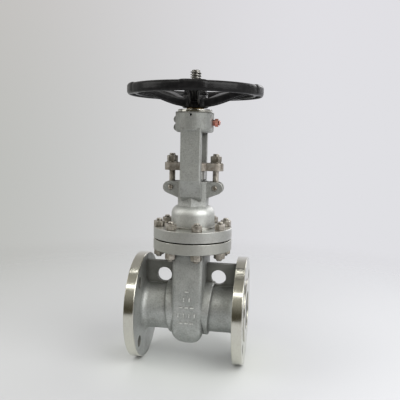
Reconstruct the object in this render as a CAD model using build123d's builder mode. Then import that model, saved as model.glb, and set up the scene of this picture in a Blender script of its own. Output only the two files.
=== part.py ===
from build123d import *
import os
from math import cos, pi, radians, sin, tan

os.makedirs("parts", exist_ok=True)

# Rising-stem gate valve with an outside screw and yoke, 2 1/2 inch, class 150, shut.
# X runs along the pipe, Z is the stem axis, and the origin is on the floor under the stem.

# ---- End connections -------------------------------------------------------------------
BORE = 63.5
FACE_TO_FACE = 190.0
FLANGE_OD = 178.0
FLANGE_THICK = 16.4
FLANGE_CHAMFER = 0.8
RAISED_FACE_OD = 104.8
RAISED_FACE_HEIGHT = 1.6
FLANGE_BOLT_CIRCLE = 139.7
FLANGE_BOLT_HOLE = 19.0
FLANGE_BOLT_COUNT = 4
BRANCH_WALL = 7.5
BRANCH_FLARE = 10.0
COLLAR_WALL = 6.0          # how far the seat collar stands out of the branch
COLLAR_REACH = 10.5        # along the pipe, from the chamber's side, at the pipe axis
COLLAR_ROUND = 2.8

# ---- Body chamber ----------------------------------------------------------------------
CHAMBER_SIDE_WALL = 7.0    # the walls that the bore passes through
CHAMBER_END_WALL = 6.0     # the walls facing +Y and -Y
CHAMBER_DROP = 56.0        # outer bottom below the pipe axis
CHAMBER_SUMP = 6.0         # room under the shut wedge
WEDGE_FACE_ROOM = 3.4      # wedge's thick end to the cavity's side
CHAMBER_EDGE_ROUND = 7.0
CHAMBER_SWELL = 2.0        # lower chamber beyond the seat collars, in Y
NECK_DROP = 30.0           # straight neck under the body flange's top
SWELL_RISE = 40.0          # the chamber is at full depth below this, from the pipe axis
BODY_RISE = 119.0          # pipe axis to the top of the body flange
BODY_FLANGE_THICK = 17.5
BONNET_FLANGE_OD = 130.5
BONNET_BOLT_CIRCLE = 112.0
BONNET_BOLT_COUNT = 8
BONNET_BOLT_TURN = 16.0    # first bolt, in degrees from -Y towards +X
GASKET_THICK = 1.5
GASKET_WIDTH = 6.0
RAIL_WIDTH = 6.0
RAIL_HEIGHT = 4.0

# ---- Web plates between the flanges and the chamber --------------------------------------
WEB_THICK = 9.0
WEB_RISE = 77.5            # top edge above the pipe axis
WEB_HOLE = 25.0
WEB_HOLE_OUT = 46.0
WEB_HOLE_UP = 54.0
WEB_ROOT = 3.0             # how far a web runs into what it joins

# ---- Generic cast marks on the front of the chamber --------------------------------------
MARK_HEIGHT = 1.1
MARK_LENGTH = 6.5
MARK_WIDTH = 2.2
MARK_PITCH = 9.0
MARK_ROW_PITCH = 13.0
MARK_TOP_RISE = 38.0       # top row above the pipe axis
MARK_ROWS = (1, 2, 3, 4, 3)   # bars in each row, from the top
SINK = 1.0                 # how far a mark or rail is sunk in its wall before fusing

# ---- Wedge and seats ---------------------------------------------------------------------
SEAT_ANGLE = 5.0           # each seat leans this much, in degrees
SEAT_HALF_GAP = 12.0       # seat face to the stem axis, at the pipe axis
SEAT_RING_WALL = 5.0
SEAT_RING_DEPTH = 6.5      # how far the ring is let into the chamber's wall
WEDGE_OVERLAP = 3.75       # wedge disc beyond the bore, all round
WEDGE_SIDE_ROOM = 2.0      # wedge disc to the chamber's end wall
WEDGE_BOSS_WIDTH = 32.0
WEDGE_BOSS_RISE = 50.0
TEE_WIDTH = 24.0
TEE_DEPTH = 16.0
TEE_HEIGHT = 8.0
TEE_LIP = 4.0
WEDGE_LIFT = 72.0

# ---- Bonnet and yoke, one casting ----------------------------------------------------------
BONNET_FLANGE_THICK = 18.0
PAD_OD = 82.0
PAD_HEIGHT = 2.5
DOME_OD = 72.0
DOME_WALL = 7.0
DOME_HEIGHT = 36.5         # above the bonnet flange
DOME_SHOULDER = 15.0
ROOF_THICK = 15.0
ROOF_CHAMFER = 8.0         # inside corner of the dome
PACKING_FLOOR_DROP = 2.5   # stuffing box floor below the dome's top
COLUMN_FLATS = 48.0
COLUMN_RISE = 39.0         # stuffing box top above the dome
COLUMN_EDGE_ROUND = 4.0
COLUMN_ROOT = 4.0          # how far the column is sunk in the dome
LEG_WIDTH = 33.4
LEG_THICK = 12.0
LEG_INNER = 28.0           # inner face to the stem axis
LEG_EDGE_ROUND = 3.0
LEG_ROOT_IN = 7.0          # the leg's root reaches this far in from its inner face
LEG_ROOT_OUT = 11.0        # and stops this far short of its outer face
LEG_ROOT_RISES = (-4.0, 3.0, 30.0)   # corners of the root above the underside of the lugs
LEG_TENON = 6.0            # how far the leg runs up into the head
WINDOW_HEIGHT = 80.0       # stuffing box top to the underside of the yoke head
HEAD_WIDTH = 59.0
HEAD_HEIGHT = 32.5
HEAD_LIP = 2.0             # how far the head stands out past the legs
HEAD_UNDER_ROUND = 5.0
BEAD_RADIUS = 6.3
BEAD_LENGTH = 24.0
BEAD_SINK = 0.4            # share of the radius that is sunk in the head
BEAD_RISES = (0.25, 0.64)   # shares of the head's height
BEARING_SEAT = 9.0         # the bearing's seat above the head's underside
BEARING_ROOM = 1.0         # bearing bore beyond the stem nut's collar

# ---- Gland -----------------------------------------------------------------------------
PACKING_WALL = 6.0
PACKING_RINGS = 5
PACKING_RING_HEIGHT = 6.0
PACKING_WASHER_THICK = 2.0
FOLLOWER_HEAD_OD = 39.0
FOLLOWER_LIFT = 3.0        # take-up left between the follower's head and the box
FOLLOWER_CHAMFER = 1.0
GLAND_SPREAD = 73.0        # eye bolt to eye bolt
GLAND_FLANGE_THICK = 12.6
GLAND_FLANGE_BOSS = 50.0
GLAND_FLANGE_END = 12.5    # bar end beyond the bolt
GLAND_FLANGE_RISE = 18.0   # underside above the stuffing box
LUG_NOSE = 10.0
LUG_NOSE_OUT = 3.0         # nose centre beyond the pin
LUG_HEIGHT = 27.0
LUG_THICK = 25.0
EYE_OD = 18.0
EYE_THICK = 10.4
EYE_ROOM = 1.0             # slot beyond the eye, behind it
GLAND_EDGE_ROUND = 1.5
GLAND_STEM_ROOM = 2.0
PIN_DIAMETER = 8.0
PIN_STAND_OUT = 2.5

# ---- Stem and its nut ------------------------------------------------------------------
STEM_DIAMETER = 18.0
STEM_NECK = 12.0
STEM_NECK_RISE = 6.0       # neck above the wedge's boss
STEM_NECK_CONE = 3.0
STEM_TIP = 2.0             # chamfer at the stem's top
THREAD_PITCH = 4.0
THREAD_DEPTH = 2.25
THREAD_FLANK = 15.0        # degrees
STEM_STAND_OUT = 29.5      # above the handwheel nut
BACKSEAT_COLLAR_OD = 25.0
BACKSEAT_COLLAR_HEIGHT = 6.0
BACKSEAT_CONE = 2.0        # height of the collar's seating cone
BACKSEAT_LAND = 1.5        # flat at the cone's top, beyond the stem
BUSH_WALL = 4.0
NUT_WALL = 5.0             # stem nut's wall at its journals
NUT_SEAT_STEP = 1.5        # hub seat's radius below the journal's
NUT_TOP_STEP = 2.0         # top thread's radius below the journal's
NUT_STAND_OUT = 1.5        # above the handwheel nut
NUT_COLLAR_WIDTH = 6.0     # collar's radius beyond the journal's
NUT_COLLAR_HEIGHT = 8.0
THRUST_WASHER_THICK = 3.0
CAP_OD = 57.0
CAP_THICK = 4.5
CAP_SET_SCREW = 4.0
CAP_SET_SCREW_LENGTH = 8.0
CAP_SET_SCREW_DROP = 5.0   # below the head's top

# ---- Handwheel ---------------------------------------------------------------------------
WHEEL_OD = 222.0
RIM_WIDTH = 17.0
RIM_HEIGHT = 17.6
RIM_RISE = 27.2            # rim centre above the hub's underside
HUB_OD = 42.0
HUB_HEIGHT = 22.0
HUB_GAP = 2.5              # hub above the yoke cap
SPOKE_COUNT = 5
SPOKE_TURN = 7.0           # first spoke, in degrees from -Y towards +X
SPOKE_WIDTH = 20.0
SPOKE_THICK = 10.0
SPOKE_ROUND = 4.5
SPOKE_ROOT_RISE = 9.0      # spoke centre above the hub's underside
SPOKE_ROOT_IN = 4.0        # how far a spoke runs into the hub
SPOKE_RIM_IN = 2.0         # spoke's end short of the rim's centre
SPOKE_SAG = 1.0            # middle of the spoke below a straight line
SPOKE_WAIST = 3.0          # narrower by this at the middle
SPOKE_SPREAD = 2.0         # wider by this at the rim
KEY_SIZE = 5.0
KEY_LENGTH = 16.0
KEY_DROP = 1.0             # below the hub's top
WHEEL_WASHER_THICK = 1.5
WHEEL_NUT_FLATS = 34.0
WHEEL_NUT_HEIGHT = 8.0

# ---- Fasteners and clearances --------------------------------------------------------------
BOLT_DIAMETER = 10.0
BOLT_HOLE = 11.0
NUT_FLATS = 16.0
NUT_HEIGHT = 10.0
NUT_CORNER_BREAK = 0.3
WASHER_OD = 19.0
WASHER_THICK = 1.6
BOLT_STAND_OUT = 3.5
EDGE_BREAK = 0.8
RUN = 0.1                  # radial and axial running clearance
SLIP = 0.15                # clearance of a piece that is put in by hand
THREAD_GAP = 0.05
SEAT_GAP = 0.15            # wedge face to seat, shut
MOVE_GAP = 0.5             # pieces that pass each other

# ---- Grease nipple -------------------------------------------------------------------------
NIPPLE_FLATS = 13.0
NIPPLE_HEX_LENGTH = 5.0
NIPPLE_COLLAR = 10.0
NIPPLE_COLLAR_LENGTH = 4.0 # between the yoke head and the hexagon
NIPPLE_SHANK = 6.0
NIPPLE_SHANK_LENGTH = 5.0
NIPPLE_NECK = 5.4
NIPPLE_HEAD = 8.4
NIPPLE_HEAD_LENGTH = 3.5   # beyond the hexagon
NIPPLE_HEAD_TO_TIP = 2.4   # back of the head's band
NIPPLE_NOSE = 1.2          # front of the head's band
NIPPLE_LAND = 1.2
NIPPLE_PASSAGE = 2.4
NIPPLE_BALL = 3.0

# ---- Derived sizes -------------------------------------------------------------------------
AXIS_Z = FLANGE_OD / 2
BORE_R = BORE / 2
FLANGE_R = FLANGE_OD / 2
BRANCH_R = BORE_R + BRANCH_WALL
COLLAR_R = BRANCH_R + COLLAR_WALL
END_X = FACE_TO_FACE / 2
FLANGE_FRONT_X = END_X - RAISED_FACE_HEIGHT
FLANGE_BACK_X = FLANGE_FRONT_X - FLANGE_THICK

WEDGE_R = BORE_R + WEDGE_OVERLAP
SEAT_RING_R = BORE_R + SEAT_RING_WALL
WEDGE_TOP_HALF = SEAT_HALF_GAP + WEDGE_R * tan(radians(SEAT_ANGLE))
CAVITY_HALF_X = WEDGE_TOP_HALF + WEDGE_FACE_ROOM
CAVITY_HALF_Y = WEDGE_R + WEDGE_SIDE_ROOM
CHAMBER_HALF_X = CAVITY_HALF_X + CHAMBER_SIDE_WALL
CHAMBER_HALF_Y = CAVITY_HALF_Y + CHAMBER_END_WALL
COLLAR_X = CHAMBER_HALF_X + COLLAR_REACH
SWELL_HALF_Y = max(COLLAR_R + CHAMBER_SWELL, CHAMBER_HALF_Y)
SEAT_BACK_X = CAVITY_HALF_X + SEAT_RING_DEPTH

BODY_TOP_Z = AXIS_Z + BODY_RISE
BODY_FLANGE_Z = BODY_TOP_Z - BODY_FLANGE_THICK
BONNET_Z = BODY_TOP_Z + GASKET_THICK
BONNET_TOP_Z = BONNET_Z + BONNET_FLANGE_THICK
DOME_TOP_Z = BONNET_TOP_Z + DOME_HEIGHT
ROOF_Z = DOME_TOP_Z - ROOF_THICK
PACKING_FLOOR_Z = DOME_TOP_Z - PACKING_FLOOR_DROP
BOX_TOP_Z = DOME_TOP_Z + COLUMN_RISE
HEAD_Z = BOX_TOP_Z + WINDOW_HEIGHT
HEAD_TOP_Z = HEAD_Z + HEAD_HEIGHT
LEG_OUTER = LEG_INNER + LEG_THICK
HEAD_HALF_Y = LEG_OUTER + HEAD_LIP

STEM_R = STEM_DIAMETER / 2
STEM_BORE_R = STEM_R + RUN
PACKING_R = STEM_R + PACKING_WALL
BUSH_R = STEM_R + BUSH_WALL
PACKING_Z = PACKING_FLOOR_Z + PACKING_WASHER_THICK
PACKING_TOP_Z = PACKING_Z + PACKING_RINGS * PACKING_RING_HEIGHT
GLAND_Z = BOX_TOP_Z + GLAND_FLANGE_RISE
GLAND_TOP_Z = GLAND_Z + GLAND_FLANGE_THICK
GLAND_X = GLAND_SPREAD / 2
PIN_Z = BOX_TOP_Z - LUG_NOSE

JOURNAL_R = STEM_R + NUT_WALL
HUB_SEAT_R = JOURNAL_R - NUT_SEAT_STEP
TOP_THREAD_R = JOURNAL_R - NUT_TOP_STEP
NUT_COLLAR_R = JOURNAL_R + NUT_COLLAR_WIDTH
BEARING_R = NUT_COLLAR_R + BEARING_ROOM
BEARING_Z = HEAD_Z + BEARING_SEAT
NUT_COLLAR_Z = BEARING_Z + THRUST_WASHER_THICK + RUN
UPPER_WASHER_Z = NUT_COLLAR_Z + NUT_COLLAR_HEIGHT + RUN
CAP_Z = UPPER_WASHER_Z + THRUST_WASHER_THICK
CAP_TOP_Z = HEAD_TOP_Z + CAP_THICK
HUB_Z = CAP_TOP_Z + HUB_GAP
HUB_TOP_Z = HUB_Z + HUB_HEIGHT
WHEEL_NUT_Z = HUB_TOP_Z + WHEEL_WASHER_THICK
NUT_TOP_Z = WHEEL_NUT_Z + WHEEL_NUT_HEIGHT + NUT_STAND_OUT
STEM_TOP_Z = WHEEL_NUT_Z + WHEEL_NUT_HEIGHT + STEM_STAND_OUT
RIM_Z = HUB_Z + RIM_RISE
RIM_R = (WHEEL_OD - RIM_WIDTH) / 2

TEE_TOP_Z = AXIS_Z + WEDGE_BOSS_RISE - TEE_LIP - MOVE_GAP
TEE_Z = TEE_TOP_Z - TEE_HEIGHT
COLLAR_TOP_Z = ROOF_Z - WEDGE_LIFT - MOVE_GAP
THREAD_Z = HEAD_Z - WEDGE_LIFT - THREAD_PITCH

FLOW = Plane(origin=(0, 0, AXIS_Z), x_dir=(1, 0, 0), z_dir=(0, -1, 0))    # local x, height
END = Plane(origin=(0, 0, AXIS_Z), x_dir=(0, 1, 0), z_dir=(1, 0, 0))      # local y, height
SIDE = Plane(origin=(0, 0, 0), x_dir=(1, 0, 0), z_dir=(0, -1, 0))         # x and z
ACROSS = Plane(origin=(0, 0, 0), x_dir=(0, 1, 0), z_dir=(1, 0, 0))        # y and z
PIPE_AXIS = Axis((0, 0, AXIS_Z), (1, 0, 0))


def save(part, name):
    """Labels one finished piece and writes it."""
    part.label = name
    export_step(part, f"parts/{name}.step")


def level(z):
    return Plane.XY.offset(z)


def tube(outer_r, inner_r, z_low, z_high):
    """A plain ring on the stem axis."""
    with BuildPart() as piece:
        with BuildSketch(level(z_low)):
            Circle(outer_r)
            Circle(inner_r, mode=Mode.SUBTRACT)
        extrude(amount=z_high - z_low)
    return piece.part


def bonnet_bolts():
    """The places of the bonnet bolts, on whichever plane is current."""
    return PolarLocations(
        BONNET_BOLT_CIRCLE / 2, BONNET_BOLT_COUNT, start_angle=BONNET_BOLT_TURN - 90
    )


def gland_bolts():
    return Locations((-GLAND_X, 0), (GLAND_X, 0))


def seat_plane(way, gap):
    """The leaning face of one seat; its normal points at the wedge."""
    lean = radians(SEAT_ANGLE)
    return Plane(
        origin=(way * (SEAT_HALF_GAP + gap), 0, AXIS_Z),
        x_dir=(0, 1, 0),
        z_dir=(-way * cos(lean), 0, sin(lean)),
    )


# ---- Body: chamber, branches, end flanges and webs ---------------------------------------
with BuildPart() as body:
    # The chamber is round at the bottom, seen along Y and seen along X.
    with BuildSketch(FLOW):
        with BuildLine():
            bottom = CHAMBER_HALF_X - CHAMBER_DROP
            Line((-CHAMBER_HALF_X, bottom), (-CHAMBER_HALF_X, BODY_RISE))
            Line((-CHAMBER_HALF_X, BODY_RISE), (CHAMBER_HALF_X, BODY_RISE))
            Line((CHAMBER_HALF_X, BODY_RISE), (CHAMBER_HALF_X, bottom))
            ThreePointArc((CHAMBER_HALF_X, bottom), (0, -CHAMBER_DROP), (-CHAMBER_HALF_X, bottom))
        make_face()
    extrude(amount=SWELL_HALF_Y, both=True)
    with BuildSketch(END):
        with BuildLine():
            low = -CHAMBER_DROP - CHAMBER_SUMP
            bottom = low + SWELL_HALF_Y
            right_side = [
                (SWELL_HALF_Y, bottom),
                (SWELL_HALF_Y, SWELL_RISE),
                (CHAMBER_HALF_Y, BODY_RISE - NECK_DROP),
                (CHAMBER_HALF_Y, BODY_RISE),
            ]
            Polyline(*right_side, *[(-y, z) for y, z in reversed(right_side)])
            ThreePointArc((SWELL_HALF_Y, bottom), (0, low), (-SWELL_HALF_Y, bottom))
        make_face()
    extrude(amount=CHAMBER_HALF_X + 1, both=True, mode=Mode.INTERSECT)
    fillet(
        [e for e in body.edges() if e.geom_type != GeomType.LINE or abs((e % 0.5).Z) > 0.99],
        CHAMBER_EDGE_ROUND,
    )

    # Both branches with their flanges and raised faces, turned in one go.
    with BuildSketch(FLOW) as ends:
        with BuildLine():
            right = [
                (END_X, 0),
                (END_X, RAISED_FACE_OD / 2),
                (FLANGE_FRONT_X, RAISED_FACE_OD / 2),
                (FLANGE_FRONT_X, FLANGE_R),
                (FLANGE_BACK_X, FLANGE_R),
                (FLANGE_BACK_X, BRANCH_R),
            ]
            left = [(-x, r) for x, r in reversed(right)]
            Polyline(*right, *left, close=True)
        make_face()
        flares = [v for v in ends.vertices()
                  if abs(abs(v.X) - FLANGE_BACK_X) < 0.1 and abs(v.Y - BRANCH_R) < 0.1]
        fillet(flares, BRANCH_FLARE)
        chamfer([v for v in ends.vertices() if abs(v.Y - FLANGE_R) < 0.1], FLANGE_CHAMFER)
    revolve(axis=PIPE_AXIS)

    # Seat collars, leaning with the seats.
    for way in (-1, 1):
        with BuildSketch(seat_plane(way, COLLAR_X - SEAT_HALF_GAP)):
            Circle(COLLAR_R)
        extrude(amount=COLLAR_X - CAVITY_HALF_X)
    fillet(
        [e for e in body.edges().filter_by(GeomType.CIRCLE)
         if abs(e.radius - COLLAR_R) < 0.01 and abs(abs(e.arc_center.X) - COLLAR_X) < 0.1],
        COLLAR_ROUND,
    )

    # Bonnet flange of the body.
    with BuildSketch(level(BODY_FLANGE_Z)):
        Circle(BONNET_FLANGE_OD / 2)
    extrude(amount=BODY_FLANGE_THICK)
    chamfer(
        [e for e in body.edges().filter_by(GeomType.CIRCLE)
         if abs(e.radius - BONNET_FLANGE_OD / 2) < 0.01],
        EDGE_BREAK,
    )

    # Web plates, each with its round hole.
    web_middle_x = (CHAMBER_HALF_X + FLANGE_BACK_X) / 2
    web_length = FLANGE_BACK_X - CHAMBER_HALF_X + 2 * WEB_ROOT
    for way in (-1, 1):
        with BuildSketch(FLOW):
            with Locations((way * web_middle_x, (WEB_RISE + BRANCH_R - WEB_ROOT) / 2)):
                Rectangle(web_length, WEB_RISE - BRANCH_R + WEB_ROOT)
            with Locations((way * WEB_HOLE_OUT, WEB_HOLE_UP)):
                Circle(WEB_HOLE / 2, mode=Mode.SUBTRACT)
        extrude(amount=WEB_THICK / 2, both=True)

    # Cast marks: plain bars in rows on the front of the chamber.
    for row, bars in enumerate(MARK_ROWS):
        with BuildSketch(Plane(
            origin=(0, -SWELL_HALF_Y + SINK, AXIS_Z + MARK_TOP_RISE - row * MARK_ROW_PITCH),
            x_dir=(1, 0, 0), z_dir=(0, -1, 0),
        )):
            with GridLocations(MARK_PITCH, 0, bars, 1):
                SlotOverall(MARK_LENGTH, MARK_WIDTH, rotation=90 if row % 2 else 0)
        extrude(amount=MARK_HEIGHT + SINK)

    # Chamber cavity, open at the top, with a round floor.
    with BuildSketch(END):
        with BuildLine():
            floor_low = -WEDGE_R - CHAMBER_SUMP
            floor_side = floor_low + CAVITY_HALF_Y
            Line((-CAVITY_HALF_Y, floor_side), (-CAVITY_HALF_Y, BODY_RISE))
            Line((-CAVITY_HALF_Y, BODY_RISE), (CAVITY_HALF_Y, BODY_RISE))
            Line((CAVITY_HALF_Y, BODY_RISE), (CAVITY_HALF_Y, floor_side))
            ThreePointArc((CAVITY_HALF_Y, floor_side), (0, floor_low), (-CAVITY_HALF_Y, floor_side))
        make_face()
    extrude(amount=CAVITY_HALF_X, both=True, mode=Mode.SUBTRACT)

    # Guide rails for the wedge, on the cavity's end walls.
    with BuildSketch(level(AXIS_Z - WEDGE_R / 2)):
        with GridLocations(0, 2 * CAVITY_HALF_Y - RAIL_HEIGHT + SINK, 1, 2):
            Rectangle(RAIL_WIDTH, RAIL_HEIGHT + SINK)
    extrude(amount=BODY_RISE - BODY_FLANGE_THICK + WEDGE_R / 2)

    # Bore, and the recesses that hold the seat rings.
    with BuildSketch(END.offset(-END_X)):
        Circle(BORE_R)
    extrude(amount=FACE_TO_FACE, mode=Mode.SUBTRACT)
    with BuildSketch(END.offset(-SEAT_BACK_X)):
        Circle(SEAT_RING_R)
    extrude(amount=SEAT_RING_DEPTH, mode=Mode.SUBTRACT)
    with BuildSketch(END.offset(SEAT_BACK_X)):
        Circle(SEAT_RING_R)
    extrude(amount=-SEAT_RING_DEPTH, mode=Mode.SUBTRACT)

    # Bolt holes: four through each end flange, eight through the bonnet joint.
    for way in (-1, 1):
        with BuildSketch(END.offset(way * END_X)):
            with PolarLocations(FLANGE_BOLT_CIRCLE / 2, FLANGE_BOLT_COUNT, start_angle=45):
                Circle(FLANGE_BOLT_HOLE / 2)
        extrude(amount=-way * (FLANGE_THICK + RAISED_FACE_HEIGHT), mode=Mode.SUBTRACT)
    with BuildSketch(level(BODY_FLANGE_Z)):
        with bonnet_bolts():
            Circle(BOLT_HOLE / 2)
    extrude(amount=BODY_FLANGE_THICK, mode=Mode.SUBTRACT)
save(body.part, "body")

# ---- Seat rings and wedge -----------------------------------------------------------------
for way, name in ((-1, "seat_ring_inlet"), (1, "seat_ring_outlet")):
    with BuildPart() as seat_ring:
        with BuildSketch(END.offset(way * SEAT_BACK_X)):
            Circle(SEAT_RING_R)
            Circle(BORE_R, mode=Mode.SUBTRACT)
        extrude(amount=-way * (SEAT_BACK_X - SEAT_HALF_GAP / 2))
        split(bisect_by=seat_plane(way, SEAT_GAP), keep=Keep.BOTTOM)
    save(seat_ring.part, name)

with BuildPart() as wedge:
    with BuildSketch(END):
        Circle(WEDGE_R)
        with Locations((0, WEDGE_BOSS_RISE / 2)):
            Rectangle(WEDGE_BOSS_WIDTH, WEDGE_BOSS_RISE)
    extrude(amount=WEDGE_TOP_HALF, both=True)
    for way in (-1, 1):
        split(bisect_by=seat_plane(way, 0), keep=Keep.TOP)
    # Slots that run on the body's guide rails.
    with BuildSketch(level(AXIS_Z - WEDGE_R)):
        with GridLocations(0, 2 * CAVITY_HALF_Y, 1, 2):
            Rectangle(RAIL_WIDTH + 2 * MOVE_GAP, 2 * (RAIL_HEIGHT + MOVE_GAP))
    extrude(amount=2 * WEDGE_R, mode=Mode.SUBTRACT)
    # Slot for the stem's tee head, open along the pipe.
    with BuildSketch(END):
        with Locations((0, WEDGE_BOSS_RISE)):
            Rectangle(STEM_NECK + 2 * MOVE_GAP, 2 * TEE_LIP)
        with Locations((0, WEDGE_BOSS_RISE - TEE_LIP - TEE_HEIGHT / 2 - MOVE_GAP)):
            Rectangle(TEE_WIDTH + 2 * MOVE_GAP, TEE_HEIGHT + 2 * MOVE_GAP)
    extrude(amount=WEDGE_TOP_HALF + 5, both=True, mode=Mode.SUBTRACT)
save(wedge.part, "wedge")

# ---- Gasket, in the bonnet joint inside the bolts --------------------------------------------
gasket_outer = (BONNET_BOLT_CIRCLE - BOLT_HOLE) / 2 - SLIP
save(tube(gasket_outer, gasket_outer - GASKET_WIDTH, BODY_TOP_Z, BONNET_Z), "bonnet_gasket")


# ---- Bonnet and yoke -----------------------------------------------------------------------
with BuildPart() as bonnet:
    # Flange, machined pad and dome, turned.
    with BuildSketch(SIDE) as shell:
        with BuildLine():
            Polyline(
                (0, BONNET_Z),
                (BONNET_FLANGE_OD / 2, BONNET_Z),
                (BONNET_FLANGE_OD / 2, BONNET_TOP_Z),
                (PAD_OD / 2, BONNET_TOP_Z),
                (PAD_OD / 2, BONNET_TOP_Z + PAD_HEIGHT),
                (DOME_OD / 2, BONNET_TOP_Z + PAD_HEIGHT),
                (DOME_OD / 2, DOME_TOP_Z),
                (0, DOME_TOP_Z),
                close=True,
            )
        make_face()
        fillet([v for v in shell.vertices()
                if abs(v.X - DOME_OD / 2) < 0.1 and abs(v.Y - DOME_TOP_Z) < 0.1], DOME_SHOULDER)
        chamfer([v for v in shell.vertices() if abs(v.X - BONNET_FLANGE_OD / 2) < 0.1], EDGE_BREAK)
    revolve(axis=Axis.Z)

    # Six-sided stuffing box column.
    with BuildSketch(level(DOME_TOP_Z - COLUMN_ROOT)) as column:
        RegularPolygon(COLUMN_FLATS / 2, 6, major_radius=False, rotation=90)
        fillet(column.vertices(), COLUMN_EDGE_ROUND)
    extrude(amount=COLUMN_RISE + COLUMN_ROOT)

    # Lugs for the gland's eye bolts.
    for way in (-1, 1):
        with BuildSketch(SIDE):
            with Locations((way * (GLAND_X + LUG_NOSE_OUT), PIN_Z)):
                Circle(LUG_NOSE)
            with Locations((way * (COLUMN_FLATS / 2 - 2), BOX_TOP_Z - LUG_HEIGHT / 2)):
                Rectangle(4, LUG_HEIGHT)
            make_hull()
        extrude(amount=LUG_THICK / 2, both=True)

    # Yoke head.
    with BuildSketch(level(HEAD_Z)):
        SlotOverall(2 * HEAD_HALF_Y, HEAD_WIDTH, rotation=90)
    extrude(amount=HEAD_HEIGHT)
    fillet(bonnet.edges().group_by(Axis.Z)[-1], EDGE_BREAK)
    fillet(bonnet.edges().filter_by_position(Axis.Z, HEAD_Z, HEAD_Z), HEAD_UNDER_ROUND)

    # Two yoke legs, at -Y and +Y.
    root_z = [BOX_TOP_Z - LUG_HEIGHT + rise for rise in LEG_ROOT_RISES]
    for way in (-1, 1):
        with BuildSketch(ACROSS) as leg:
            with BuildLine():
                Polyline(
                    (way * (LEG_INNER - LEG_ROOT_IN), root_z[0]),
                    (way * (LEG_OUTER - LEG_ROOT_OUT), root_z[1]),
                    (way * LEG_OUTER, root_z[2]),
                    (way * LEG_OUTER, HEAD_Z + LEG_TENON),
                    (way * LEG_INNER, HEAD_Z + LEG_TENON),
                    (way * LEG_INNER, BOX_TOP_Z),
                    (way * (LEG_INNER - LEG_ROOT_IN), BOX_TOP_Z),
                    close=True,
                )
            make_face()
        extrude(amount=LEG_WIDTH / 2, both=True)
    fillet(
        [e for e in bonnet.edges().filter_by(Axis.Z)
         if abs(abs(e.center().X) - LEG_WIDTH / 2) < 0.1 and abs(abs(e.center().Y) - LEG_OUTER) < 0.1],
        LEG_EDGE_ROUND,
    )

    # Two cast beads on the head's -X side.
    for share in BEAD_RISES:
        with BuildSketch(SIDE.offset(-BEAD_LENGTH / 2)):
            with Locations((-HEAD_WIDTH / 2 + BEAD_RADIUS * BEAD_SINK, HEAD_Z + share * HEAD_HEIGHT)):
                Circle(BEAD_RADIUS)
        extrude(amount=BEAD_LENGTH)

    # Inside of the dome, backseat hole and stuffing box.
    with BuildSketch(SIDE):
        with BuildLine():
            Polyline(
                (0, BONNET_Z),
                (DOME_OD / 2 - DOME_WALL, BONNET_Z),
                (DOME_OD / 2 - DOME_WALL, ROOF_Z - ROOF_CHAMFER),
                (DOME_OD / 2 - DOME_WALL - ROOF_CHAMFER, ROOF_Z),
                (BUSH_R, ROOF_Z),
                (BUSH_R, PACKING_FLOOR_Z),
                (PACKING_R, PACKING_FLOOR_Z),
                (PACKING_R, BOX_TOP_Z),
                (0, BOX_TOP_Z),
                close=True,
            )
        make_face()
    revolve(axis=Axis.Z, mode=Mode.SUBTRACT)

    # Bearing bore and lower journal bore in the head.
    with BuildSketch(level(BEARING_Z)):
        Circle(BEARING_R)
    extrude(amount=HEAD_TOP_Z - BEARING_Z, mode=Mode.SUBTRACT)
    with BuildSketch(level(HEAD_Z)):
        Circle(JOURNAL_R + RUN)
    extrude(amount=BEARING_Z - HEAD_Z, mode=Mode.SUBTRACT)

    # Slots for the eye bolts, and the holes for their pins.
    slot_inner_x = GLAND_X - EYE_OD / 2 - EYE_ROOM
    slot_length = EYE_OD + 2 * LUG_NOSE
    for way in (-1, 1):
        with BuildSketch(SIDE):
            with Locations((way * (slot_inner_x + slot_length / 2), PIN_Z)):
                Rectangle(slot_length, 2 * LUG_HEIGHT)
        extrude(amount=EYE_THICK / 2 + MOVE_GAP, both=True, mode=Mode.SUBTRACT)
    with BuildSketch(SIDE):
        with Locations((-GLAND_X, PIN_Z), (GLAND_X, PIN_Z)):
            Circle(PIN_DIAMETER / 2 + RUN)
    extrude(amount=LUG_THICK, both=True, mode=Mode.SUBTRACT)

    with BuildSketch(level(BONNET_Z)):
        with bonnet_bolts():
            Circle(BOLT_HOLE / 2)
    extrude(amount=BONNET_FLANGE_THICK, mode=Mode.SUBTRACT)

    # Hole for the grease nipple, through to the bearing.
    with BuildSketch(Plane.YZ.offset(BEARING_R - 2)):
        with Locations((0, HEAD_Z + HEAD_HEIGHT / 2)):
            Circle(NIPPLE_SHANK / 2 + THREAD_GAP)
    extrude(amount=HEAD_WIDTH, mode=Mode.SUBTRACT)
    # Hole for the cap's set screw.
    with BuildSketch(Plane.XZ.offset(BEARING_R - 2)):
        with Locations((0, HEAD_TOP_Z - CAP_SET_SCREW_DROP)):
            Circle(CAP_SET_SCREW / 2 + THREAD_GAP)
    extrude(amount=HEAD_HALF_Y, mode=Mode.SUBTRACT)
save(bonnet.part, "bonnet")

# ---- Backseat bush, packing and gland -----------------------------------------------------------
save(tube(BUSH_R, STEM_BORE_R, ROOF_Z, PACKING_FLOOR_Z), "backseat_bush")
save(tube(PACKING_R - SLIP, STEM_BORE_R, PACKING_FLOOR_Z, PACKING_Z), "packing_washer")

with BuildPart() as packing:
    for turn in range(PACKING_RINGS):
        with BuildSketch(level(PACKING_Z + turn * PACKING_RING_HEIGHT)):
            Circle(PACKING_R - THREAD_GAP)
            Circle(STEM_BORE_R, mode=Mode.SUBTRACT)
        extrude(amount=PACKING_RING_HEIGHT - SLIP)
save(packing.part, "packing_rings")

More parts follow.
